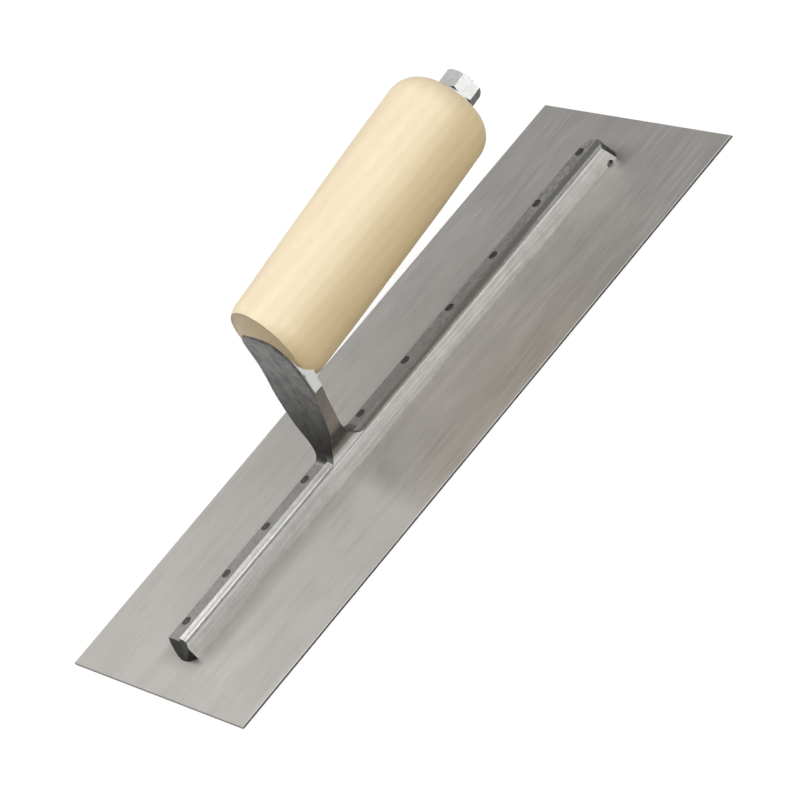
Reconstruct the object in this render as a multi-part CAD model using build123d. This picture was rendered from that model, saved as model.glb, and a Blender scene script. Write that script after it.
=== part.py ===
from build123d import *
import os
from math import cos, radians, sin, tan

# Steel finishing trowel for concrete.
#
# A ground steel blade is riveted under a cast aluminium mounting. The mounting is a long low
# bar with a curved shank, and the shank carries a turned wooden handle. A threaded rod runs
# from the shank through the handle to a washer and a hex nut.
#
# Frame: origin at the centre of the blade's underside, +X towards the heel (the nut's end),
# +Y across the blade, +Z up. Millimetres.

# Blade, an 11 by 4.5 inch plate
BLADE_LENGTH = 279.4
BLADE_WIDTH = 114.3
BLADE_THICKNESS = 0.8
BLADE_EDGE_BREAK = 0.2

# Mounting bar; heights are above the blade's top face
BAR_FOOT_HALF_WIDTH = 6.35
BAR_TOP_HALF_WIDTH = 6.15
BAR_LEDGE_HEIGHT = 7.2
BAR_CREST_HEIGHT = 8.25
BAR_CREST_Y = -1.65
BAR_STEP_DRAFT = 0.2
BAR_CROWN_WIDTH = 1.2
BAR_CROWN_TILT = 4.0
BAR_WALL_HEIGHT = 6.2
BAR_NOSE_RADIUS = 8.6
BAR_NOSE_X = 124.2
TOE_TOP_X = 120.8
HEEL_DRAFT = 12.4
TOE_SLOT = (1.6, 0.8, 3.0)
TOE_SLOT_Y = -4.3
HEEL_NOTCH_X = 118.0
HEEL_NOTCH_RADIUS = 1.5

# Rivets, one row in the ledge: a front group and a rear group
RIVET_DIAMETER = 3.7
RIVET_HEAD_DIAMETER = 5.6
RIVET_ROW_Y = 3.9
RIVET_FRONT_START = -112.6
RIVET_FRONT_PITCH = 22.3
RIVET_FRONT_COUNT = 4
RIVET_REAR_START = -13.7
RIVET_REAR_PITCH = 25.9
RIVET_REAR_COUNT = 6
RIVET_RECESS = 0.15
RIVET_FIT = 0.02

# Handle, a turned piece whose axis rises towards the heel
HANDLE_TILT = 4.77
HANDLE_SEAT_X = -22.9
HANDLE_SEAT_HEIGHT = 54.95
HANDLE_LENGTH = 111.1
HANDLE_FRONT_RADIUS = 18.95
HANDLE_WAIST_RADIUS = 19.3
HANDLE_MID_RADIUS = 19.65
HANDLE_REAR_RADIUS = 20.0
HANDLE_END_RADIUS = 19.9
HANDLE_END_ROUND = 11.0
HANDLE_FRONT_ROUND = 8.0
HANDLE_FRONT_ROUND_START = 3.3
HANDLE_FACE_TILT = 6.7
HANDLE_FACE_SKEW = 1.0
HANDLE_FACE_TOP = (-0.3, 18.1)
HANDLE_FACE_RADIUS = 16.3
HANDLE_FACE_CONE = 18.8
HANDLE_FACE_STOP = -3.8

# Shank, a curved fan-shaped plate between the bar and the handle
PAD_THICKNESS = 4.3
PAD_TOP = 63.9
PAD_FLAT_TOP = 46.5
PAD_FLAT_BOTTOM = 38.0
PAD_TOP_HALF_WIDTH = 14.4
PAD_HALF_WIDTH = 15.2
PAD_STEP = 0.5
PAD_EDGE_ROUND = 1.2
SHANK_NECK_HALF_WIDTH = 5.7
SHANK_NECK_HEIGHT = 9.8
SHANK_FOOT = 4.0

# Rod, boss, washer and nut, all on the handle's axis
ROD_DIAMETER = 7.94
ROD_CLEARANCE = 0.03
ROD_TIP_RECESS = 0.6
ROD_TIP_CHAMFER = 0.8
TAPPED_DEPTH = 2.8
BOSS_DIAMETER = 13.0
BOSS_LENGTH = 9.0
BORE_DIAMETER = 8.6
COUNTERBORE_DIAMETER = 13.4
COUNTERBORE_DEPTH = 10.0
SPOT_FACE_DIAMETER = 16.4
SPOT_FACE_DEPTH = 0.3
WASHER_DIAMETER = 15.9
WASHER_HOLE = 8.7
WASHER_THICKNESS = 1.6
WASHER_EDGE_BREAK = 0.3
NUT_ACROSS_FLATS = 13.4
NUT_THICKNESS = 7.3
NUT_CHAMFER_ANGLE = 30.0
NUT_CROWN_INSET = 0.4
NUT_MOUTH_CHAMFER = 0.35
NUT_TURN = 13.4

BLADE_TOP = BLADE_THICKNESS
LEDGE_TOP = BLADE_TOP + BAR_LEDGE_HEIGHT
SEAT = Vector(HANDLE_SEAT_X, 0, BLADE_TOP + HANDLE_SEAT_HEIGHT)
AXIS_DIRECTION = Vector(cos(radians(HANDLE_TILT)), 0, sin(radians(HANDLE_TILT)))

# Side view of the handle: local X runs along its axis from the seat, local Y is up.
HANDLE_PLANE = Plane(origin=SEAT, x_dir=AXIS_DIRECTION, z_dir=(0, -1, 0))
# Looking along the axis from the front: local Z runs along the axis from the seat.
AXIAL_PLANE = Plane(origin=SEAT, x_dir=(0, 1, 0), z_dir=AXIS_DIRECTION)
# Side view of the whole trowel: local X is +X, local Y is +Z.
SIDE_PLANE = Plane.XZ
# Front view: local X is +Y, local Y is +Z.
FRONT_PLANE = Plane.YZ


def axial(start, end, diameter):
    """A cylinder on the handle's axis, from start to end along it."""
    disc = AXIAL_PLANE.offset(start) * Circle(diameter / 2)
    return extrude(disc, end - start, dir=AXIS_DIRECTION)


def rivet_stations():
    front = [RIVET_FRONT_START + RIVET_FRONT_PITCH * k for k in range(RIVET_FRONT_COUNT)]
    rear = [RIVET_REAR_START + RIVET_REAR_PITCH * k for k in range(RIVET_REAR_COUNT)]
    return front + rear


def rivet_solid(x, grow=0.0, top=LEDGE_TOP - RIVET_RECESS):
    """A rivet with a countersunk head flush with the blade's underside."""
    radius = RIVET_DIAMETER / 2 + grow
    shank = Pos(x, RIVET_ROW_Y, top / 2) * Cylinder(radius, top)
    head = Pos(x, RIVET_ROW_Y, BLADE_THICKNESS / 2) * Cone(
        RIVET_HEAD_DIAMETER / 2, radius, BLADE_THICKNESS
    )
    return shank + head


def make_blade():
    plate = Pos(0, 0, BLADE_THICKNESS / 2) * Box(BLADE_LENGTH, BLADE_WIDTH, BLADE_THICKNESS)
    plate = chamfer(plate.faces().sort_by(Axis.Z)[-1].edges(), BLADE_EDGE_BREAK)
    for x in rivet_stations():
        plate -= rivet_solid(x, RIVET_FIT, top=2 * BLADE_THICKNESS)
    return plate


def bar_section():
    """Cross-section of the bar: a flat ledge on the +Y half, beside a higher rounded rib."""
    foot = BLADE_TOP
    ledge_top = foot + BAR_LEDGE_HEIGHT
    crest = (BAR_CREST_Y, foot + BAR_CREST_HEIGHT)
    fall = radians(BAR_CROWN_TILT)
    shoulder = (
        BAR_CREST_Y - BAR_CROWN_WIDTH * cos(fall),
        foot + BAR_CREST_HEIGHT - BAR_CROWN_WIDTH * sin(fall),
    )
    wall_top = (-BAR_TOP_HALF_WIDTH, foot + BAR_WALL_HEIGHT)
    corner = Spline(shoulder, wall_top, tangents=[(-cos(fall), -sin(fall)), (0, -1)])
    outline = Polyline(
        wall_top,
        (-BAR_FOOT_HALF_WIDTH, foot),
        (BAR_FOOT_HALF_WIDTH, foot),
        (BAR_TOP_HALF_WIDTH, ledge_top),
        (BAR_CREST_Y + BAR_STEP_DRAFT, ledge_top),
        crest,
        shoulder,
    )
    return FRONT_PLANE * make_face(corner + outline)


def make_bar():
    bar = extrude(bar_section(), BAR_NOSE_X, both=True)
    nose_centre = BAR_NOSE_X - BAR_NOSE_RADIUS
    height = 2 * BAR_CREST_HEIGHT
    straight = Pos(0, 0, BLADE_TOP + height / 2) * Box(2 * nose_centre, 4 * BAR_NOSE_RADIUS, height)
    toe_nose = Pos(-nose_centre, 0, BLADE_TOP + height / 2) * Cylinder(BAR_NOSE_RADIUS, height)
    heel_top = BAR_NOSE_RADIUS - height * tan(radians(HEEL_DRAFT))
    heel_nose = Pos(nose_centre, 0, BLADE_TOP + height / 2) * Cone(BAR_NOSE_RADIUS, heel_top, height)
    bar &= straight + toe_nose + heel_nose
    return bar - toe_cut() - toe_slot() - heel_notch()


def toe_cut():
    """What the sloped toe face removes: from the nose's foot up to a straight top edge."""
    slope = (BAR_NOSE_X - TOE_TOP_X) / BAR_LEDGE_HEIGHT
    reach = 2 * BAR_CREST_HEIGHT
    outline = Polyline(
        (-BAR_NOSE_X, BLADE_TOP),
        (-BAR_NOSE_X + slope * reach, BLADE_TOP + reach),
        (-BAR_NOSE_X - reach, BLADE_TOP + reach),
        (-BAR_NOSE_X - reach, BLADE_TOP),
        close=True,
    )
    return extrude(SIDE_PLANE * make_face(outline), BAR_NOSE_RADIUS * 2, both=True)


def toe_slot():
    """A small casting slot near the -Y edge of the toe face."""
    depth, width, height = TOE_SLOT
    middle = Pos(-TOE_TOP_X - depth / 2, TOE_SLOT_Y, BLADE_TOP + BAR_WALL_HEIGHT / 2)
    return middle * Box(depth, width, height)


def heel_notch():
    """A small half-round notch at the foot of the -Y wall, near the heel."""
    return Pos(HEEL_NOTCH_X, -BAR_FOOT_HALF_WIDTH, BLADE_TOP) * Cylinder(
        HEEL_NOTCH_RADIUS, 2 * HEEL_NOTCH_RADIUS, rotation=(90, 0, 0)
    )


def seat_x(height):
    """X of the handle's front plane at a height above the blade."""
    return HANDLE_SEAT_X - (height - HANDLE_SEAT_HEIGHT) * tan(radians(HANDLE_TILT))


def side_point(x, height):
    return (x, BLADE_TOP + height)


def shank_side():
    """Side view of the shank: a plate along the handle's front that sweeps forward to the bar."""
    top = PAD_TOP + 2
    front = Spline(
        side_point(seat_x(top) - PAD_THICKNESS, top),
        side_point(-27.4, 50),
        side_point(-28.5, 40),
        side_point(-30.7, 29),
        side_point(-33.4, 17),
        side_point(-35.1, 11),
        side_point(-38.5, BAR_LEDGE_HEIGHT),
        tangents=[(tan(radians(HANDLE_TILT)), -1), (-1, -0.35)],
    )
    foot = Polyline(
        front @ 1,
        side_point(-38.5, SHANK_FOOT),
        side_point(-19.0, SHANK_FOOT),
        side_point(-19.0, BAR_LEDGE_HEIGHT),
    )
    rear = Spline(
        foot @ 1,
        side_point(-23.8, 10.3),
        side_point(-26.6, 18),
        side_point(-26.4, 26),
        side_point(-25.2, 34),
        side_point(-23.8, 40),
        tangents=[(-1, 0.25), (0.2, 1)],
    )
    seat = Polyline(rear @ 1, side_point(seat_x(46), 46), side_point(seat_x(top), top), front @ 0)
    return SIDE_PLANE * make_face(front + foot + rear + seat)


def shank_front():
    """Front view of the shank: a round head with flat sides, narrowing to a neck."""
    head = Spline(
        (0, BLADE_TOP + PAD_TOP),
        (5.6, BLADE_TOP + 63.2),
        (10.2, BLADE_TOP + 60.7),
        (13.0, BLADE_TOP + 55.2),
        (PAD_TOP_HALF_WIDTH, BLADE_TOP + PAD_FLAT_TOP),
        tangents=[(1, 0), (0.1, -1)],
    )
    flat = Polyline(
        head @ 1,
        (PAD_HALF_WIDTH, BLADE_TOP + PAD_FLAT_BOTTOM),
        (PAD_HALF_WIDTH - PAD_STEP, BLADE_TOP + PAD_FLAT_BOTTOM - PAD_STEP),
    )
    flank = Spline(
        flat @ 1,
        (13.7, BLADE_TOP + 28.5),
        (10.4, BLADE_TOP + 18.5),
        (SHANK_NECK_HALF_WIDTH, BLADE_TOP + SHANK_NECK_HEIGHT),
        tangents=[(0, -1), (-0.3, -1)],
    )
    flare = Spline(
        flank @ 1,
        (BAR_TOP_HALF_WIDTH, BLADE_TOP + BAR_WALL_HEIGHT),
        tangents=[(-0.1, -1), (0.5, -1)],
    )
    foot = Polyline(
        flare @ 1, (BAR_TOP_HALF_WIDTH, BLADE_TOP + SHANK_FOOT), (0, BLADE_TOP + SHANK_FOOT)
    )
    half = head + flat + flank + flare + foot
    return FRONT_PLANE * make_face(half + mirror(half, Plane.YZ))


def shank_block():
    """The shank with sharp edges, which is also the pocket it fills in the handle."""
    side = extrude(shank_side(), 2 * PAD_HALF_WIDTH, both=True)
    front = extrude(shank_front(), 2 * PAD_TOP, both=True)
    return side & front


def make_shank():
    shank = shank_block()

    def on_head_front(edge):
        middle = edge @ 0.5
        ahead = middle.X < HANDLE_SEAT_X - PAD_THICKNESS / 2
        return ahead and middle.Z > BLADE_TOP + PAD_FLAT_BOTTOM

    outline = shank.edges().filter_by(GeomType.BSPLINE).filter_by(on_head_front)
    return fillet(outline, PAD_EDGE_ROUND)


def make_mounting():
    body = make_bar() + make_shank() + axial(-PAD_THICKNESS / 2, BOSS_LENGTH, BOSS_DIAMETER)
    body -= axial(-TAPPED_DEPTH, BOSS_LENGTH + 1, ROD_DIAMETER + 2 * ROD_CLEARANCE)
    for x in rivet_stations():
        body -= rivet_solid(x, RIVET_FIT, top=LEDGE_TOP + 1)
    return body


def handle_face_limit():
    """Room for the handle's front end: all behind a slanted plane, and a blunt cone before it."""
    top_x, top_y = HANDLE_FACE_TOP
    slope = tan(radians(HANDLE_FACE_TILT))
    up = AXIS_DIRECTION.cross(Vector(0, 1, 0))
    inward = AXIS_DIRECTION - slope * up - tan(radians(HANDLE_FACE_SKEW)) * Vector(0, 1, 0)
    face = Plane(origin=SEAT + (top_x - slope * top_y) * AXIS_DIRECTION, z_dir=inward)
    behind = extrude(face * Circle(2 * HANDLE_REAR_RADIUS), 2 * HANDLE_LENGTH)
    height = HANDLE_FACE_RADIUS * tan(radians(HANDLE_FACE_CONE))
    cone = face * Pos(0, 0, -height / 2) * Cone(0, HANDLE_FACE_RADIUS, height)
    return behind + cone


def make_handle():
    front_start = HANDLE_FRONT_ROUND_START - HANDLE_FRONT_ROUND
    front_flat_radius = HANDLE_FRONT_RADIUS - HANDLE_FRONT_ROUND
    end_flat_radius = HANDLE_END_RADIUS - HANDLE_END_ROUND
    front_round = CenterArc(
        (HANDLE_FRONT_ROUND_START, front_flat_radius), HANDLE_FRONT_ROUND, 180, -90
    )
    side = Spline(
        front_round @ 1,
        (0.2 * HANDLE_LENGTH, HANDLE_WAIST_RADIUS),
        (0.45 * HANDLE_LENGTH, HANDLE_MID_RADIUS),
        (0.7 * HANDLE_LENGTH, HANDLE_REAR_RADIUS),
        (HANDLE_LENGTH - HANDLE_END_ROUND, HANDLE_END_RADIUS),
        tangents=[(1, 0), (1, 0)],
    )
    rear_round = CenterArc(
        (HANDLE_LENGTH - HANDLE_END_ROUND, end_flat_radius), HANDLE_END_ROUND, 90, -90
    )
    closing = Polyline(rear_round @ 1, (HANDLE_LENGTH, 0), (front_start, 0), front_round @ 0)
    profile = HANDLE_PLANE * make_face(front_round + side + rear_round + closing)
    body = revolve(profile, Axis(SEAT, AXIS_DIRECTION)) & handle_face_limit()
    body -= axial(2 * front_start, HANDLE_FACE_STOP, 4 * HANDLE_REAR_RADIUS)
    body -= shank_block()
    body -= axial(front_start, HANDLE_LENGTH + 1, BORE_DIAMETER)
    body -= axial(front_start, COUNTERBORE_DEPTH, COUNTERBORE_DIAMETER)
    return body - axial(HANDLE_LENGTH - SPOT_FACE_DEPTH, HANDLE_LENGTH + 1, SPOT_FACE_DIAMETER)


WASHER_START = HANDLE_LENGTH - SPOT_FACE_DEPTH
NUT_START = WASHER_START + WASHER_THICKNESS
NUT_END = NUT_START + NUT_THICKNESS


def make_tang_rod():
    rod = axial(-TAPPED_DEPTH, NUT_END - ROD_TIP_RECESS, ROD_DIAMETER)
    tips = rod.edges().filter_by(GeomType.CIRCLE)
    return chamfer(tips, ROD_TIP_CHAMFER)


def make_washer():
    ring = axial(WASHER_START, NUT_START, WASHER_DIAMETER)
    ring = chamfer(ring.edges().filter_by(GeomType.CIRCLE).sort_by(Axis.X)[-1:], WASHER_EDGE_BREAK)
    return ring - axial(WASHER_START - 1, NUT_START + 1, WASHER_HOLE)


def make_hex_nut():
    corner_radius = NUT_ACROSS_FLATS / 2 / cos(radians(30))
    hexagon = RegularPolygon(corner_radius, 6, rotation=NUT_TURN)
    block = extrude(AXIAL_PLANE.offset(NUT_START) * hexagon, NUT_THICKNESS)
    turned_face = NUT_ACROSS_FLATS / 2 - NUT_CROWN_INSET
    rise = (corner_radius - turned_face) * tan(radians(NUT_CHAMFER_ANGLE))
    crown = Polyline(
        (NUT_START, 0),
        (NUT_START, turned_face),
        (NUT_START + rise, corner_radius),
        (NUT_END - rise, corner_radius),
        (NUT_END, turned_face),
        (NUT_END, 0),
        close=True,
    )
    block &= revolve(HANDLE_PLANE * make_face(crown), Axis(SEAT, AXIS_DIRECTION))
    hole = ROD_DIAMETER + 2 * ROD_CLEARANCE
    block -= axial(NUT_START - 1, NUT_END + 1, hole)
    mouths = block.edges().filter_by(GeomType.CIRCLE).filter_by(
        lambda edge: abs(edge.radius - hole / 2) < 0.01
    )
    return chamfer(mouths, NUT_MOUTH_CHAMFER)


def save(name, shape):
    shape.label = name
    export_step(shape, f"parts/{name}.step")


os.makedirs("parts", exist_ok=True)
save("blade", make_blade())
save("mounting", make_mounting())
save("handle", make_handle())
save("tang_rod", make_tang_rod())
save("washer", make_washer())
save("hex_nut", make_hex_nut())
for number, station in enumerate(rivet_stations(), start=1):
    save(f"rivet_{number:02d}", rivet_solid(station))
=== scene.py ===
"""Looks of the steel finishing trowel: materials, floor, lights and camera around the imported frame.

Metres, in the frame's axes: +X towards the heel, +Y across the blade, +Z up.
"""
import math

import bpy
from mathutils import Matrix, Vector


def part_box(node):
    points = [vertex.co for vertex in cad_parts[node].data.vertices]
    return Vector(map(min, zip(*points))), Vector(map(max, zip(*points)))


# Camera
CAMERA_AZIMUTH = math.radians(-109.26)
CAMERA_ELEVATION = math.radians(29.9)
CAMERA_ROLL = math.radians(-40.26)
CAMERA_DISTANCE = 1.678
CAMERA_LENS = 210.3

SENSOR_WIDTH = 36.0

# Handle: its axis rises towards the heel, and its wood fibres run along it
HANDLE_TILT = math.radians(4.77)

# Casting: heights of the rib's top and of the foot of the shank head's flat sides
RIB_TOP = 0.0091
HEAD_FLAT_LOW = 0.0388

# Casting: where the shank stands along the bar, where the bar ends, and where its rib begins
SHANK_FOOT_X = -0.029
BAR_END_X = 0.122
RIB_EDGE_Y = -0.0012

# Most of a noise lies between these
NOISE_LOW = 0.3
NOISE_HIGH = 0.7

# Light and floor
WHITE = (1.0, 1.0, 1.0)
WORLD_STRENGTH = 0.2
FLOOR_SIZE = 8.0
FLOOR_GAP = 0.0001

# Soft lights: name, place, aim, width and height in metres, power in watts
PANELS = (
    ("overhead", (-0.2, -0.2, 1.35), (0, 0, 0), 2.2, 1.8, 24),
    ("toe_side", (-0.45, 1.3, 1.0), (-0.1, 0, 0), 1.6, 0.9, 8),
    ("near_side", (0.4, -1.55, 1.0), (0, 0, 0), 1.4, 0.9, 11),
)

# Sockets of a Mix node set to colours
MIX_FACTOR, MIX_A, MIX_B = 0, 6, 7
MIX_RESULT = 2


def new_material(name):
    """An empty node tree with a Principled shader wired to the output."""
    material = bpy.data.materials.new(name)
    material.use_nodes = True
    tree = material.node_tree
    return material, tree, tree.nodes["Principled BSDF"]


def mapped(tree, scale, rotation=(0, 0, 0), location=(0, 0, 0)):
    """Object coordinates, scaled to features per metre along each axis."""
    coordinates = tree.nodes.new("ShaderNodeTexCoord")
    mapping = tree.nodes.new("ShaderNodeMapping")
    mapping.inputs["Location"].default_value = location
    mapping.inputs["Rotation"].default_value = rotation
    mapping.inputs["Scale"].default_value = scale
    tree.links.new(coordinates.outputs["Object"], mapping.inputs["Vector"])
    return mapping.outputs["Vector"]


def noise(tree, scale, detail=3.0, roughness=0.5, rotation=(0, 0, 0)):
    """Fractal noise from 0 to 1, stretched by unequal scales."""
    texture = tree.nodes.new("ShaderNodeTexNoise")
    texture.inputs["Scale"].default_value = 1.0
    texture.inputs["Detail"].default_value = detail
    texture.inputs["Roughness"].default_value = roughness
    tree.links.new(mapped(tree, scale, rotation), texture.inputs["Vector"])
    return texture.outputs["Fac"]


def ramp(tree, value, *stops):
    """A colour ramp from (position, grey or colour) stops."""
    node = tree.nodes.new("ShaderNodeValToRGB")
    elements = node.color_ramp.elements
    while len(elements) < len(stops):
        elements.new(0.5)
    for element, (position, colour) in zip(elements, stops):
        element.position = position
        grey = isinstance(colour, (int, float))
        element.color = (colour, colour, colour, 1) if grey else (*colour, 1)
    tree.links.new(value, node.inputs["Fac"])
    return node.outputs["Color"]


def mottled(tree, texture, dark, light, low=NOISE_LOW, high=NOISE_HIGH):
    """Two greys or colours, blended over the middle of a noise."""
    return ramp(tree, texture, (low, dark), (high, light))


def mix(tree, factor, a, b, blend="MIX"):
    """Blends two colours; each may be a socket or a colour, and the factor a socket or a number."""
    node = tree.nodes.new("ShaderNodeMix")
    node.data_type = "RGBA"
    node.blend_type = blend
    for key, value in ((MIX_FACTOR, factor), (MIX_A, a), (MIX_B, b)):
        if isinstance(value, bpy.types.NodeSocket):
            tree.links.new(value, node.inputs[key])
        elif key == MIX_FACTOR:
            node.inputs[key].default_value = value
        else:
            node.inputs[key].default_value = (*value, 1)
    return node.outputs[MIX_RESULT]


def tinted(tree, factor, colour, tint):
    """A colour multiplied by another, as far as the factor says."""
    return mix(tree, factor, colour, tint, "MULTIPLY")


def math_node(tree, operation, *values):
    """One arithmetic step on sockets or numbers."""
    node = tree.nodes.new("ShaderNodeMath")
    node.operation = operation
    for socket, value in zip(node.inputs, values):
        if isinstance(value, bpy.types.NodeSocket):
            tree.links.new(value, socket)
        else:
            socket.default_value = value
    return node.outputs[0]


def absolute(tree, value):
    return math_node(tree, "ABSOLUTE", value)


def either(tree, *masks):
    """The largest of several masks."""
    largest = masks[0]
    for mask in masks[1:]:
        largest = math_node(tree, "MAXIMUM", largest, mask)
    return largest


def both(tree, *masks):
    """Where all of several masks hold."""
    product = masks[0]
    for mask in masks[1:]:
        product = math_node(tree, "MULTIPLY", product, mask)
    return product


def map_range(tree, value, low, high, new_low=0.0, new_high=1.0):
    """Eases from one number to another while the value goes from low to high."""
    node = tree.nodes.new("ShaderNodeMapRange")
    node.interpolation_type = "SMOOTHSTEP"
    for name, number in (
        ("From Min", low), ("From Max", high), ("To Min", new_low), ("To Max", new_high)
    ):
        node.inputs[name].default_value = number
    tree.links.new(value, node.inputs["Value"])
    return node.outputs["Result"]


def axes(tree, name):
    """X, Y and Z of one texture coordinate, in the trowel's own frame."""
    coordinates = tree.nodes.new("ShaderNodeTexCoord")
    split = tree.nodes.new("ShaderNodeSeparateXYZ")
    tree.links.new(coordinates.outputs[name], split.inputs["Vector"])
    return split.outputs


def position(tree):
    return axes(tree, "Object")


def facing(tree):
    """X, Y and Z of the surface normal."""
    return axes(tree, "Normal")


def bump(tree, bsdf, *layers):
    """Stacks bump layers, each (height socket, distance in metres, strength)."""
    normal = None
    for height, distance, strength in layers:
        node = tree.nodes.new("ShaderNodeBump")
        node.inputs["Distance"].default_value = distance
        node.inputs["Strength"].default_value = strength
        tree.links.new(height, node.inputs["Height"])
        if normal is not None:
            tree.links.new(normal, node.inputs["Normal"])
        normal = node.outputs["Normal"]
    tree.links.new(normal, bsdf.inputs["Normal"])


def blade_steel():
    """Ground steel sheet: fine lengthwise marks, faint smudges, painted shade by the bar, dark edges.
    """
    material, tree, bsdf = new_material("blade_steel")
    marks = noise(tree, (45, 1300, 300), detail=4, roughness=0.65)
    bands = noise(tree, (9, 120, 40), detail=3)
    smudges = noise(tree, (28, 38, 38), detail=5, roughness=0.6)
    tone = mottled(tree, marks, (0.50, 0.48, 0.455), (0.60, 0.58, 0.555))
    banded = tinted(tree, 0.3, tone, mottled(tree, bands, 0.75, 1.0))
    smudged = tinted(tree, 0.3, banded, mottled(tree, smudges, 0.72, 1.0, 0.35, 0.65))

    place = position(tree)
    # Painted shade of the bar and the handle: the blade darkens beside the bar, along its length.
    beside_bar = map_range(tree, absolute(tree, place["Y"]), 0.018, 0.0065, 0.0, 0.5)
    along_bar = map_range(tree, absolute(tree, place["X"]), BAR_END_X + 0.008, BAR_END_X)
    shadowed = tinted(tree, both(tree, beside_bar, along_bar), smudged, (0.6, 0.58, 0.56))
    # The edge faces, turned sideways, are darkened nearly to black.
    sideways = map_range(tree, absolute(tree, facing(tree)["Z"]), 0.85, 0.3)
    colour = mix(tree, sideways, shadowed, (0.07, 0.066, 0.06))

    tree.links.new(colour, bsdf.inputs["Base Color"])
    bsdf.inputs["Metallic"].default_value = 1.0
    tree.links.new(map_range(tree, marks, 0.25, 0.75, 0.48, 0.58), bsdf.inputs["Roughness"])
    bump(tree, bsdf, (marks, 0.00002, 0.4), (smudges, 0.0002, 0.12))
    return material


def cast_shank(tree, skin, lumps, masks):
    """Dark skin of the shank and of the bar's ends, lighter up the shank's broad toe face.

    That rise is painted shade, darkest at the toe face's foot; painted shade also darkens
    the bar's toe end and the shank's flat sides towards its head.
    """
    z = position(tree)["Z"]
    dark = mottled(tree, skin, (0.06, 0.058, 0.056), (0.20, 0.196, 0.188))
    grime = mottled(tree, lumps, 0.0, 0.8, 0.42, 0.66)
    grimy = mix(tree, grime, dark, (0.05, 0.05, 0.05))
    # Painted shade: the shank's toe face is darkest at its foot on the bar and lighter up towards its
    # head.
    height = map_range(tree, z, RIB_TOP, HEAD_FLAT_LOW + 0.012, 0.16, 1.45)
    toe_face = map_range(tree, masks["facing_toe"], 0.3, 0.8)
    shaded = tinted(tree, both(tree, toe_face, masks["above_bar"]), WHITE, height)
    ends = tinted(tree, 1.0, grimy, shaded)
    # The bar's toe end, turned away from the light, goes near black: dark skin plus painted shade.
    toe_end = map_range(tree, masks["facing_toe"], 0.5, 0.8)
    toe_end_shaded = mix(tree, both(tree, toe_end, masks["on_bar"]), ends, (0.05, 0.049, 0.047))
    side = mottled(tree, skin, (0.34, 0.305, 0.27), (0.50, 0.455, 0.41))
    # Painted shade: the shank's flat sides darken towards its head.
    side_shaded = tinted(tree, 1.0, side, map_range(tree, z, RIB_TOP, HEAD_FLAT_LOW, 1.0, 0.42))
    return mix(tree, both(tree, masks["beside"], masks["above_bar"]), toe_end_shaded, side_shaded)


def cast_ledge(tree, skin):
    """Dull skin of the bar's flat ledge, with painted shade by the shank that lifts towards the heel.
    """
    # Painted shade: the ledge is darkest at the shank's foot and lightens towards the heel.
    towards_heel = map_range(tree, position(tree)["X"], SHANK_FOOT_X, 0.09)
    dull = mottled(tree, skin, (0.25, 0.24, 0.225), (0.39, 0.38, 0.36))
    lit_skin = mottled(tree, skin, (0.31, 0.30, 0.28), (0.47, 0.46, 0.435))
    return mix(tree, towards_heel, dull, lit_skin)


def cast_rib(tree, filing, level):
    """Smooth top of the bar's rib, with painted shade on its rounded corner and behind the shank."""
    smooth = mottled(tree, filing, (0.66, 0.645, 0.62), (0.86, 0.85, 0.83))
    # Painted shade on the rib's rounded corner, where its top turns away from level.
    rounded = mix(tree, level, (0.2, 0.195, 0.185), smooth)
    # Painted shade of the handle over the rib behind the shank.
    behind = map_range(
        tree, position(tree)["X"], SHANK_FOOT_X - 0.004, SHANK_FOOT_X + 0.004, 0.0, 0.6
    )
    return mix(tree, behind, rounded, (0.24, 0.235, 0.225))


def cast_ground(tree, filing, lumps, head_flat):
    """Ground sides: bright along the bar, darker towards the toe, and plain on the shank's head."""
    filed = mottled(tree, filing, (0.62, 0.62, 0.61), (0.93, 0.925, 0.91), 0.28, 0.72)
    toe_wall = map_range(
        tree, position(tree)["X"], SHANK_FOOT_X + 0.01, SHANK_FOOT_X - 0.04, 0.0, 0.35
    )
    toe_darkened = mix(tree, toe_wall, filed, (0.4, 0.4, 0.39))
    patched = mix(tree, mottled(tree, lumps, 0.3, 0.0, 0.35, 0.6), toe_darkened, (0.5, 0.5, 0.5))
    return mix(tree, head_flat, patched, (0.62, 0.62, 0.61))


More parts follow.
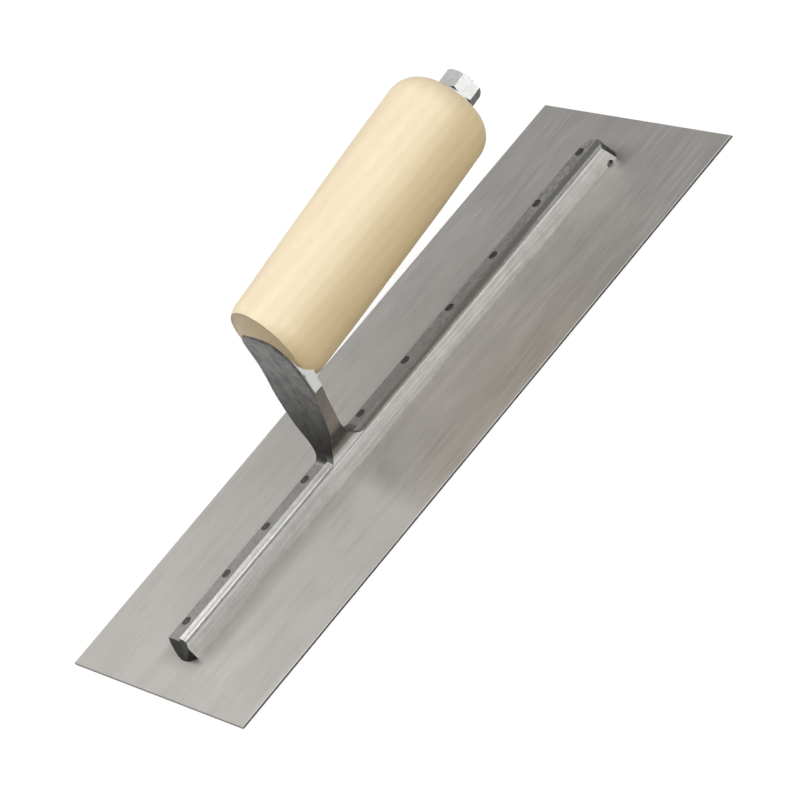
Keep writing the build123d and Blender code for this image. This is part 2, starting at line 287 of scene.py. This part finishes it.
def cast_aluminium():
    """Sand-cast aluminium: a dark skin on the shank and the bar's ends, and ground bar sides.

    The ledge keeps a dull skin, the rib beside it is smooth with painted shade towards its rounded
    corner, and the flat sides of the shank's head are ground bright. Painted shade also falls on
    the ledge near the shank, the rib behind it, the shank's foot and sides, and the bar's toe end.
    """
    material, tree, bsdf = new_material("cast_aluminium")
    skin = noise(tree, (700, 700, 700), detail=5, roughness=0.65)
    lumps = noise(tree, (230, 230, 230), detail=4, roughness=0.6)
    filing = noise(tree, (35, 700, 1100), detail=3, roughness=0.6)
    place = position(tree)
    face = facing(tree)

    above_bar = map_range(tree, place["Z"], RIB_TOP, RIB_TOP + 0.003)
    on_bar = math_node(tree, "SUBTRACT", 1.0, above_bar)
    beside = map_range(tree, absolute(tree, face["Y"]), 0.85, 0.97)
    upward = map_range(tree, face["Z"], 0.35, 0.6)
    level = map_range(tree, face["Z"], 0.8, 0.98)
    past_edge = map_range(tree, place["Y"], RIB_EDGE_Y, RIB_EDGE_Y - 0.0006)
    on_rib = both(tree, upward, on_bar, past_edge)
    above_foot = map_range(tree, place["Z"], HEAD_FLAT_LOW - 0.0003, HEAD_FLAT_LOW + 0.0003)
    head_flat = both(tree, beside, above_foot)
    ground = either(tree, both(tree, beside, on_bar), head_flat)
    masks = {
        "above_bar": above_bar,
        "on_bar": on_bar,
        "beside": beside,
        "facing_toe": math_node(tree, "MULTIPLY", face["X"], -1.0),
    }

    shank = cast_shank(tree, skin, lumps, masks)
    flat_top = mix(tree, both(tree, level, on_bar), shank, cast_ledge(tree, skin))
    ribbed = mix(tree, on_rib, flat_top, cast_rib(tree, filing, level))
    colour = mix(tree, ground, ribbed, cast_ground(tree, filing, lumps, head_flat))
    tree.links.new(colour, bsdf.inputs["Base Color"])
    bsdf.inputs["Metallic"].default_value = 1.0

    rough = map_range(tree, skin, NOISE_LOW, NOISE_HIGH, 0.42, 0.6)
    smoothed = mix(tree, both(tree, on_rib, level), rough, (0.3, 0.3, 0.3))
    tree.links.new(smoothed, bsdf.inputs["Roughness"])
    bump(tree, bsdf, (skin, 0.0001, 0.5), (lumps, 0.0003, 0.35), (filing, 0.00003, 0.4))
    return material


def growth_rings(tree, along):
    """Distorted rings about the handle's axis, cut by its surface into long bands."""
    rings = tree.nodes.new("ShaderNodeTexWave")
    rings.wave_type = "RINGS"
    rings.rings_direction = "X"
    for name, number in (
        ("Scale", 1.0), ("Distortion", 3.0), ("Detail", 2.0), ("Detail Scale", 0.7)
    ):
        rings.inputs[name].default_value = number
    tree.links.new(mapped(tree, (9, 75, 75), along, (0, 3.2, 1.4)), rings.inputs["Vector"])
    return rings.outputs["Fac"]


def hardwood():
    """Pale close-grained wood: growth bands, fine fibres and a few short warm flecks.

    Painted shade makes the underside darker and warmer and the end grain greyer.
    """
    material, tree, bsdf = new_material("hardwood")
    along = (0, HANDLE_TILT, 0)
    rings = growth_rings(tree, along)
    fibres = noise(tree, (60, 1700, 1700), detail=3, roughness=0.6, rotation=along)
    flecks = noise(tree, (170, 420, 420), detail=4, roughness=0.65, rotation=along)
    clouds = noise(tree, (25, 90, 90), detail=3, rotation=along)
    base = mottled(tree, rings, (0.76, 0.63, 0.43), (0.785, 0.66, 0.46), 0.0, 1.0)
    fibred = tinted(tree, 0.4, base, mottled(tree, fibres, 0.86, 1.0))
    clouded = tinted(tree, 0.5, fibred, mottled(tree, clouds, 0.9, 1.0))
    spots = mottled(tree, flecks, 0.0, 0.5, 0.60, 0.74)
    flecked = mix(tree, spots, clouded, (0.66, 0.50, 0.22))

    face = facing(tree)
    # Painted shade: the handle's underside, facing down, turns darker and warmer.
    underside = map_range(tree, face["Z"], 0.8, -0.1)
    underside_shaded = tinted(tree, underside, flecked, (0.78, 0.725, 0.57))
    # The end grain is darker than the sides, and painted shade greys it further where it faces the
    # toe.
    end_grain_and_shade = map_range(tree, face["X"], -0.7, -0.85)
    colour = tinted(tree, end_grain_and_shade, underside_shaded, (0.62, 0.59, 0.56))

    tree.links.new(colour, bsdf.inputs["Base Color"])
    bsdf.inputs["Roughness"].default_value = 0.55
    bsdf.inputs["Coat Weight"].default_value = 0.3
    bsdf.inputs["Coat Roughness"].default_value = 0.5
    bump(tree, bsdf, (fibres, 0.00005, 0.3), (flecks, 0.0001, 0.12))
    return material


def plated_steel():
    """Bright zinc plating of the rod, washer and nut, with painted light and shade by facing.

    Faces turned up are greyer, upright ones brightest and downward ones dark; painted shade
    darkens the faces towards the toe, for the gap where the nut meets the washer.
    """
    material, tree, bsdf = new_material("plated_steel")
    haze = noise(tree, (500, 500, 500), detail=4)
    face = facing(tree)
    # Painted light and shade: each face's brightness is set by which way it turns, brightest on the
    # upright sides.
    turned = map_range(tree, face["Z"], -1.0, 1.0)
    painted_facet_light = ramp(tree, turned, (0.1, 0.16), (0.35, 0.9), (0.75, 0.97), (0.97, 0.52))
    hazed = tinted(tree, 1.0, painted_facet_light, mottled(tree, haze, 0.94, 1.0))
    # Painted shade on the faces towards the toe, standing in for the gap where the nut meets the
    # washer.
    toe_gap_shade = map_range(tree, face["X"], -0.35, -0.6)
    colour = mix(tree, toe_gap_shade, hazed, (0.04, 0.04, 0.038))
    tree.links.new(colour, bsdf.inputs["Base Color"])
    bsdf.inputs["Metallic"].default_value = 0.3
    rough = map_range(tree, haze, NOISE_LOW, NOISE_HIGH, 0.26, 0.32)
    tree.links.new(rough, bsdf.inputs["Roughness"])
    bump(tree, bsdf, (haze, 0.00001, 0.2))
    return material


def rivet_steel():
    """Dark rivet steel, hammered at its end."""
    material, tree, bsdf = new_material("rivet_steel")
    dents = noise(tree, (900, 900, 900), detail=3)
    colour = mottled(tree, dents, (0.05, 0.047, 0.043), (0.13, 0.12, 0.11))
    tree.links.new(colour, bsdf.inputs["Base Color"])
    bsdf.inputs["Metallic"].default_value = 0.9
    bsdf.inputs["Roughness"].default_value = 0.5
    bump(tree, bsdf, (dents, 0.00015, 0.5))
    return material


def paper():
    """The white floor."""
    material, _, bsdf = new_material("paper")
    bsdf.inputs["Base Color"].default_value = (0.93, 0.93, 0.93, 1)
    bsdf.inputs["Roughness"].default_value = 0.9
    return material


def dress(nodes):
    """Gives every CAD node the material of its own stuff."""
    stuff = {
        "blade": blade_steel(),
        "mounting": cast_aluminium(),
        "handle": hardwood(),
    }
    plated = plated_steel()
    stuff.update({name: plated for name in ("tang_rod", "washer", "hex_nut")})
    riveted = rivet_steel()
    stuff.update({name: riveted for name in nodes if name.startswith("rivet_")})
    for name, piece in nodes.items():
        for place in piece.material_slots:
            place.material = stuff[name]


def add_floor(height):
    """A wide plain floor, just clear of the blade."""
    bpy.ops.mesh.primitive_plane_add(size=FLOOR_SIZE, location=(0, 0, height))
    floor = bpy.context.object
    floor.name = "floor"
    floor.data.materials.append(paper())


def add_panel(name, place, target, width, height, power):
    """A rectangular soft light, aimed at a point."""
    light = bpy.data.lights.new(name, "AREA")
    light.shape = "RECTANGLE"
    light.size = width
    light.size_y = height
    light.energy = power
    panel = bpy.data.objects.new(name, light)
    panel.location = place
    panel.rotation_euler = (Vector(target) - Vector(place)).to_track_quat("-Z", "Y").to_euler()
    bpy.context.collection.objects.link(panel)


def add_world():
    """Faint white light from all round."""
    world = bpy.data.worlds.new("studio")
    world.use_nodes = True
    background = world.node_tree.nodes["Background"]
    background.inputs["Color"].default_value = (*WHITE, 1)
    background.inputs["Strength"].default_value = WORLD_STRENGTH
    bpy.context.scene.world = world


def add_camera(target):
    """Looks at the target from the set azimuth and elevation, rolled about its own axis."""
    away = Vector((
        math.cos(CAMERA_ELEVATION) * math.cos(CAMERA_AZIMUTH),
        math.cos(CAMERA_ELEVATION) * math.sin(CAMERA_AZIMUTH),
        math.sin(CAMERA_ELEVATION),
    ))
    data = bpy.data.cameras.new("camera")
    data.lens = CAMERA_LENS
    data.sensor_width = SENSOR_WIDTH
    camera = bpy.data.objects.new("camera", data)
    level = away.to_track_quat("Z", "Y").to_matrix()
    turned = level @ Matrix.Rotation(CAMERA_ROLL, 3, "Z")
    camera.matrix_world = Matrix.Translation(target + CAMERA_DISTANCE * away) @ turned.to_4x4()
    bpy.context.collection.objects.link(camera)
    bpy.context.scene.camera = camera


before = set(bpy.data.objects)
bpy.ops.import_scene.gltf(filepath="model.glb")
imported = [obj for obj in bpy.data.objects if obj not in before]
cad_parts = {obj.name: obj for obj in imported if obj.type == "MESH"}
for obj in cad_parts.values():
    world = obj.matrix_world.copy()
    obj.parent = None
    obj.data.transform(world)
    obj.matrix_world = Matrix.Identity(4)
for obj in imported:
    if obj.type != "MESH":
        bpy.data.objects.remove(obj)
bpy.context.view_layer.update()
dress(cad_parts)

blade_low, blade_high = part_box("blade")
middle = (Vector(blade_low) + Vector(blade_high)) / 2
add_floor(blade_low[2] - FLOOR_GAP)
add_world()
for panel in PANELS:
    add_panel(*panel)
add_camera(Vector((middle.x, middle.y, blade_high[2])))
bpy.context.scene.view_settings.view_transform = "Standard"
